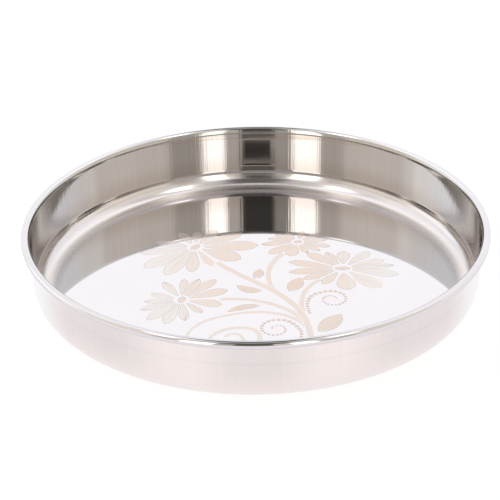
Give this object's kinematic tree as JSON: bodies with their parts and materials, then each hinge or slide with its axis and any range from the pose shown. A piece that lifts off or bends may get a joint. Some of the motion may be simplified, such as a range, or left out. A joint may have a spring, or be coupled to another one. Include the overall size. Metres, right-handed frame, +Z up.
{
  "type": "thali plate",
  "caption": "Round pressed steel thali with a flat floor, a low leaning wall, a rolled rim and a frosted floral ornament on its floor, for serving a meal.",
  "frame": {"origin": "centre of the underside, on the surface that the plate stands on", "axes": "+Z up along the plate's axis, -Y towards the ornament's root, +X to the right seen from there"},
  "size_m": [0.3, 0.3, 0.044],
  "materials": {
    "polished_steel": "mirror-polished stainless sheet with fine polishing lines round the wall",
    "frosted_petals": "frosted, beige-tinted marking on the steel",
    "frosted_lines": "frosted, deeper beige marking on the steel"
  },
  "bodies": {
    "root": {"back_flower_eye": "frosted_lines", "back_flower_petals": "frosted_petals", "back_left_flower_eye": "frosted_lines", "back_left_flower_petals": "frosted_petals", "back_stem": "frosted_lines", "front_beaded_scroll": "frosted_lines", "front_leaf": "frosted_lines", "front_scroll": "frosted_lines", "front_tendril": "frosted_lines", "left_flower_eye": "frosted_lines", "left_flower_petals": "frosted_petals", "left_leaf": "frosted_lines", "left_stem": "frosted_lines", "lower_left_leaf": "frosted_lines", "main_stem": "frosted_lines", "middle_leaf": "frosted_lines", "pan": "polished_steel", "right_beaded_scroll": "frosted_lines", "right_flower_eye": "frosted_lines", "right_flower_petals": "frosted_petals", "right_stem": "frosted_lines", "upper_leaf": "frosted_lines"}
  },
  "joints": []
}
